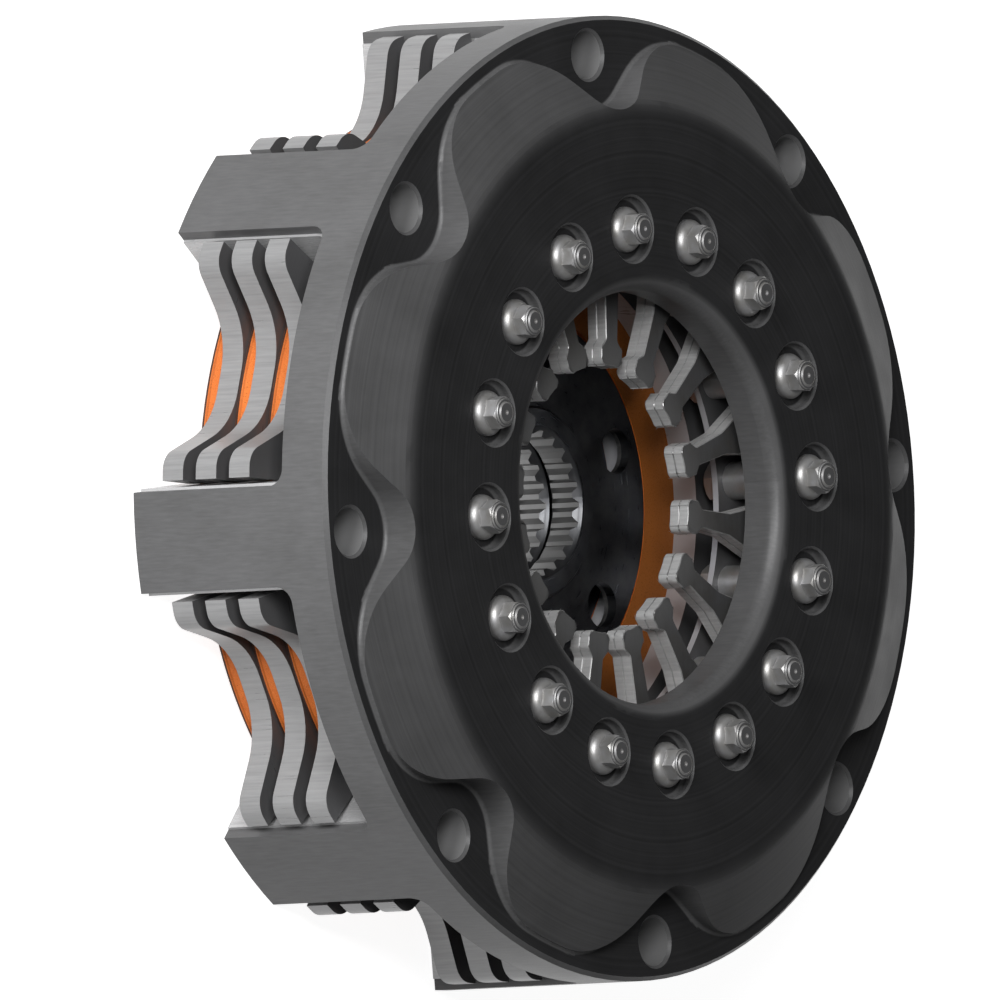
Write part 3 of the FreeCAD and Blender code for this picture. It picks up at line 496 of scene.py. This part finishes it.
def cylinder(name, radius, bottom, top, sides):
    """A closed cylinder on the origin's axis, between two heights in millimetres."""
    bpy.ops.object.select_all(action="DESELECT")
    bpy.ops.mesh.primitive_cylinder_add(
        vertices=sides, radius=radius * MM, depth=(top - bottom) * MM,
        location=(0, 0, (bottom + top) / 2 * MM))
    piece = bpy.context.object
    piece.name = name
    piece.data.transform(piece.matrix_world)
    piece.matrix_world = Matrix.Identity(4)
    return piece


def pick(piece, kind, test):
    """Enters edit mode with only the faces or edges selected that pass a test on their
    middle, in millimetres."""
    modes = {"VERT": (True, False, False), "EDGE": (False, True, False), "FACE": (False, False, True)}
    bpy.context.view_layer.objects.active = piece
    bpy.context.tool_settings.mesh_select_mode = modes[kind]
    mesh = piece.data
    for group in (mesh.vertices, mesh.edges, mesh.polygons):
        for item in group:
            item.select = False
    if kind == "FACE":
        for face in mesh.polygons:
            face.select = test(face.center / MM, face.normal)
    else:
        for edge in mesh.edges:
            first, last = (mesh.vertices[k].co / MM for k in edge.vertices)
            edge.select = test((first + last) / 2, (last - first).normalized())
    bpy.ops.object.mode_set(mode="EDIT")


def leave():
    bpy.ops.object.mode_set(mode="OBJECT")


def draw_up(piece, profile):
    """Extrudes the top face of a round piece through (radius, height) points."""
    top = max(v.co.z for v in piece.data.vertices) / MM
    radius = max(math.hypot(v.co.x, v.co.y) for v in piece.data.vertices
                 if v.co.z / MM > top - 0.001) / MM
    pick(piece, "FACE", lambda middle, normal: normal.z > 0.9 and middle.z > top - 0.001)
    for next_radius, height in profile:
        bpy.ops.mesh.extrude_region_move(TRANSFORM_OT_translate={"value": (0, 0, (height - top) * MM)})
        share = next_radius / radius
        bpy.ops.transform.resize(value=(share, share, 1.0), center_override=ORIGIN)
        top, radius = height, next_radius
    leave()


def bevel_rim(piece, height, width, segments=2):
    """Bevels the edges that lie at one height."""
    pick(piece, "EDGE", lambda middle, along: abs(middle.z - height) < 0.001 and abs(along.z) < 0.01)
    bpy.ops.mesh.bevel(offset=width * MM, segments=segments, affect="EDGES")
    leave()


def combine(piece, tool, how):
    """Joins, cuts or keeps the common part of two pieces, and removes the second."""
    change = piece.modifiers.new("combine", "BOOLEAN")
    change.operation = how
    change.solver = "EXACT"
    change.object = tool
    bpy.ops.object.select_all(action="DESELECT")
    piece.select_set(True)
    bpy.context.view_layer.objects.active = piece
    bpy.ops.object.modifier_apply(modifier=change.name)
    bpy.data.objects.remove(tool)


def chamfered_hexagon(name, across, bottom, top, chamfer, chamfer_at_top):
    """A hexagon whose corners fall away in a turned chamfer at one end."""
    corner = across / math.sqrt(3)
    prism = cylinder(name, corner, bottom, top, 6)
    turned = cylinder("turned_blank", corner, bottom, top, 72)
    bevel_rim(turned, top if chamfer_at_top else bottom, chamfer, 1)
    combine(prism, turned, "INTERSECT")
    return prism


def ring_of_copies(piece, name, count, circle, finish, body, node):
    """Copies a finished piece round the clutch axis, joins the copies under one name, and
    lets them stand for the machined node."""
    copies = []
    for k in range(count):
        copy = bpy.data.objects.new("copy", piece.data.copy())
        place = Matrix.Rotation(math.tau * k / count, 4, "Z") @ Matrix.Translation((circle, 0, 0))
        copy.data.transform(place)
        bpy.context.scene.collection.objects.link(copy)
        copies.append(copy)
    bpy.data.objects.remove(piece)
    bpy.ops.object.select_all(action="DESELECT")
    for copy in copies:
        copy.select_set(True)
    bpy.context.view_layer.objects.active = copies[0]
    bpy.ops.object.join()
    whole = bpy.context.object
    whole.name = name
    bpy.ops.object.shade_smooth_by_angle(angle=math.radians(35))
    whole.data.materials.clear()
    whole.data.materials.append(finish)
    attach(whole, body)
    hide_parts(node)
    print(name, "has", len(whole.data.polygons), "faces in", count, "copies")
    return whole


# %% [markdown]
# Flanged lock nuts.
# Sixteen lock nuts sit in round pockets. Each has a domed flange, a hexagon with turned
# corners and a thin locking collar. The machined solid has the right size but hard edges,
# so the nut is modelled again: the flange is drawn up through a few rings along its dome,
# the hexagon is the common part of a prism and a chamfered blank, and a bore is cut last.

# %% Lock nut
FLANGE_RADIUS = 4.0
FLANGE_RIM = 0.7
DOME_RISE = 1.3
DOME_BULGE = 0.25
NUT_FLATS = 5.2
HEXAGON_TOP = SEAT + 4.3
COLLAR_TOP = SEAT + 4.65
COLLAR_RADIUS = 2.45
BORE_RADIUS = 2.03
DOME_STEPS = 7
HEXAGON_CHAMFER = 0.38
OVERLAP = 0.3


def dome_profile():
    """Rings from the rim of the flange up to the foot of the hexagon, bulging outwards."""
    start = Vector((FLANGE_RADIUS, SEAT + FLANGE_RIM))
    end = Vector((NUT_FLATS / 2, SEAT + FLANGE_RIM + DOME_RISE))
    chord = end - start
    outward = Vector((chord.y, -chord.x)).normalized()
    rings = []
    for k in range(1, DOME_STEPS + 1):
        share = k / DOME_STEPS
        spot = start + chord * share + outward * (4 * DOME_BULGE * share * (1 - share))
        rings.append((spot.x, spot.y))
    return rings


nut = cylinder("lock_nut", FLANGE_RADIUS, SEAT, SEAT + FLANGE_RIM, 64)
draw_up(nut, dome_profile())
bevel_rim(nut, SEAT + FLANGE_RIM, 0.1, 2)
hexagon = chamfered_hexagon("nut_hexagon", NUT_FLATS, SEAT + FLANGE_RIM, HEXAGON_TOP,
                            HEXAGON_CHAMFER, True)
combine(nut, hexagon, "UNION")
collar = cylinder("nut_collar", COLLAR_RADIUS, HEXAGON_TOP - OVERLAP, COLLAR_TOP, 48)
bevel_rim(collar, COLLAR_TOP, 0.12, 3)
combine(nut, collar, "UNION")
bore = cylinder("nut_bore", BORE_RADIUS, SEAT - 1, COLLAR_TOP + 1, 48)
combine(nut, bore, "DIFFERENCE")
ring_of_copies(nut, "lock_nuts_chamfered", PIVOT_COUNT, PIVOT_CIRCLE, finishes["fastener_steel"],
               "cover_body", "lock_nuts")

# %% [markdown]
# Pivot bolts.
# The bolts come up from behind, and only their ends show in the nuts: a chamfered tip with
# the last turns of thread and the small centre mark of the lathe. A true helix would cost
# thousands of faces for two visible turns, so the thread is a stack of ridges, which looks
# the same from any side at this size. The hexagon head at the back has turned corners too.

# %% Pivot bolt
HEAD_FLATS = 7.0
HEAD_HEIGHT = 2.8
HEAD_TURN = math.radians(18.0)
THREAD_PITCH = 0.7
THREAD_CREST = 1.98
THREAD_ROOT = 1.74
TIP_RADIUS = 1.62
TIP_CHAMFER = 0.3
MARK_RADIUS = 0.45
MARK_DEPTH = 0.25
HEAD_CHAMFER = 0.45
bolt_bottom = bolt_low.z / MM
bolt_top = bolt_high.z / MM
thread_start = SEAT - 0.6
ridges = int((bolt_top - TIP_CHAMFER - thread_start) / THREAD_PITCH)
head_top = bolt_bottom + HEAD_HEIGHT
shank = cylinder("pivot_bolt", THREAD_CREST, head_top - 0.5, thread_start, 40)
profile = []
for k in range(ridges):
    foot = thread_start + k * THREAD_PITCH
    profile += [(THREAD_ROOT, foot + 0.3 * THREAD_PITCH), (THREAD_ROOT, foot + 0.45 * THREAD_PITCH),
                (THREAD_CREST, foot + 0.8 * THREAD_PITCH), (THREAD_CREST, foot + THREAD_PITCH)]
profile += [(THREAD_CREST, bolt_top - TIP_CHAMFER), (TIP_RADIUS, bolt_top)]
draw_up(shank, profile)
pick(shank, "FACE", lambda middle, normal: normal.z > 0.9 and middle.z > bolt_top - 0.001)
bpy.ops.mesh.inset(thickness=(TIP_RADIUS - MARK_RADIUS) * MM)
bpy.ops.mesh.extrude_region_move(TRANSFORM_OT_translate={"value": (0, 0, -MARK_DEPTH * MM)})
bpy.ops.transform.resize(value=(0.2, 0.2, 1.0), center_override=ORIGIN)
leave()
head = chamfered_hexagon("bolt_head", HEAD_FLATS, bolt_bottom, head_top, HEAD_CHAMFER, False)
head.data.transform(Matrix.Rotation(HEAD_TURN, 4, "Z"))
combine(shank, head, "UNION")
ring_of_copies(shank, "pivot_bolts_threaded", PIVOT_COUNT, PIVOT_CIRCLE, finishes["fastener_steel"],
               "cover_body", "pivot_bolts")

# %% [markdown]
# Spring copies.
# Two disc springs push the pressure plate, and when the clutch is released the plate lifts
# and the springs go flatter about the wire rings. A solid that stays stiff would cut into
# the plate there. Each spring gets a copy of its solid, merged to one clean mesh, and the
# copy keeps its shape. Tumbling breaks the blanked edges, so a fine bevel goes round them,
# and the seam between the two springs shows as a line on the sides of the fingers.

# %% Spring copies
BROKEN_EDGE = 0.15 * MM
MERGE_DISTANCE = 0.002 * MM
for name in ("diaphragm_spring_front", "diaphragm_spring_rear"):
    spring = nodes[name].copy()
    spring.data = nodes[name].data.copy()
    spring.name = name.replace("diaphragm", "flattening")
    spring.parent = None
    spring.matrix_world = nodes[name].matrix_world.copy()
    bpy.context.scene.collection.objects.link(spring)
    bpy.ops.object.select_all(action="DESELECT")
    spring.select_set(True)
    bpy.context.view_layer.objects.active = spring
    bpy.ops.object.mode_set(mode="EDIT")
    bpy.ops.mesh.select_all(action="SELECT")
    bpy.ops.mesh.remove_doubles(threshold=MERGE_DISTANCE)
    leave()
    if spring.data.has_custom_normals:
        bpy.ops.mesh.customdata_custom_splitnormals_clear()
    edges = spring.modifiers.new("broken_edges", "BEVEL")
    edges.width = BROKEN_EDGE
    edges.segments = 1
    edges.limit_method = "ANGLE"
    edges.angle_limit = math.radians(50)
    edges.use_clamp_overlap = False
    bpy.ops.object.modifier_apply(modifier=edges.name)
    bpy.ops.object.shade_smooth_by_angle(angle=math.radians(30))
    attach(spring, "cover_body")
    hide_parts(name)
    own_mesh(spring)

# %% [markdown]
# The stage.
# A large pale floor lies under the legs. It shows white to the camera and in the metal,
# and takes the soft shadow of the clutch. A low soft box lights the rims from the side on
# which they are seen, a second one near the camera reaches into the opening, and a dim
# sky fills the rest.

# %% Floor
FLOOR_GLOW = 0.9
FLOOR_DROP = 0.2 * MM
bpy.ops.object.select_all(action="DESELECT")
bpy.ops.mesh.primitive_plane_add(size=6.0, location=(0, 0, cad_low.z - FLOOR_DROP))
floor = bpy.context.object
floor.name = "floor"
floor_finish = Finish("floor_white", grey(0.8), 0.0, 0.9)
rays = floor_finish.node("ShaderNodeLightPath")
seen = floor_finish.math("MAXIMUM", rays.outputs["Is Camera Ray"], rays.outputs["Is Glossy Ray"])
seen = floor_finish.math("MAXIMUM", seen, rays.outputs["Is Transmission Ray"])
glow = floor_finish.math("MULTIPLY", seen, FLOOR_GLOW)
floor_finish.shader.inputs["Emission Color"].default_value = (1, 1, 1, 1)
floor_finish.join(glow, floor_finish.shader.inputs["Emission Strength"])
floor.data.materials.append(floor_finish.material)
print("floor at", round(floor.location.z / MM, 2), "mm")

# %% Sky and soft boxes
SKY = 0.10
BOX_SIZE = 0.5
world = bpy.data.worlds.new("studio")
bpy.context.scene.world = world
world.use_nodes = True
world.node_tree.nodes["Background"].inputs["Color"].default_value = (1, 1, 1, 1)
world.node_tree.nodes["Background"].inputs["Strength"].default_value = SKY


def soft_box(name, toward, distance, power):
    """A square lamp that faces the clutch from a given direction."""
    data = bpy.data.lights.new(name, "AREA")
    data.size = BOX_SIZE
    data.energy = power
    lamp = bpy.data.objects.new(name, data)
    bpy.context.scene.collection.objects.link(lamp)
    direction = Vector(toward).normalized()
    centre = (cad_low + cad_high) / 2
    lamp.location = centre + direction * distance
    lamp.rotation_euler = (-direction).to_track_quat("-Z", "Y").to_euler()


soft_box("key_box", (-0.85, 0.52, 0.14), 1.2, 7.5)
soft_box("front_box", (-0.70, 0.32, 0.62), 1.4, 10.8)

# %% [markdown]
# The camera.
# The picture is a parallel view: edges that are parallel on the clutch stay parallel. So
# the camera is orthographic. It looks 52.3 degrees off the clutch axis, the axis runs
# nearly level across the picture, and the width of the view is 174.8 mm.

# %% Camera
OFF_AXIS = math.radians(52.28)
ROLL = math.radians(2.745)
CLOCK = math.radians(2.6)
FLANGE_FRONT = 42.4 * MM
SHIFT_RIGHT = -21.21 * MM
SHIFT_UP = -0.29 * MM
VIEW_WIDTH = 174.83 * MM
CAMERA_DISTANCE = 0.6
side = Vector((math.cos(CLOCK), -math.sin(CLOCK), 0))
up = Vector((math.sin(CLOCK), math.cos(CLOCK), 0))
axis = Vector((0, 0, 1))
to_camera = axis * math.cos(OFF_AXIS) - side * math.sin(OFF_AXIS)
across = axis * math.sin(OFF_AXIS) + side * math.cos(OFF_AXIS)
view_right = across * math.cos(ROLL) - up * math.sin(ROLL)
view_up = across * math.sin(ROLL) + up * math.cos(ROLL)
centre = axis * FLANGE_FRONT + view_right * SHIFT_RIGHT + view_up * SHIFT_UP
camera_data = bpy.data.cameras.new("camera")
camera_data.type = "ORTHO"
camera_data.ortho_scale = VIEW_WIDTH
camera = bpy.data.objects.new("camera", camera_data)
bpy.context.scene.collection.objects.link(camera)
turn = Matrix((view_right, view_up, to_camera)).transposed()
camera.matrix_world = Matrix.Translation(centre + to_camera * CAMERA_DISTANCE) @ turn.to_4x4()
bpy.context.scene.camera = camera
bpy.context.scene.view_settings.view_transform = "Standard"
print("camera looks from", [round(v, 3) for v in to_camera])
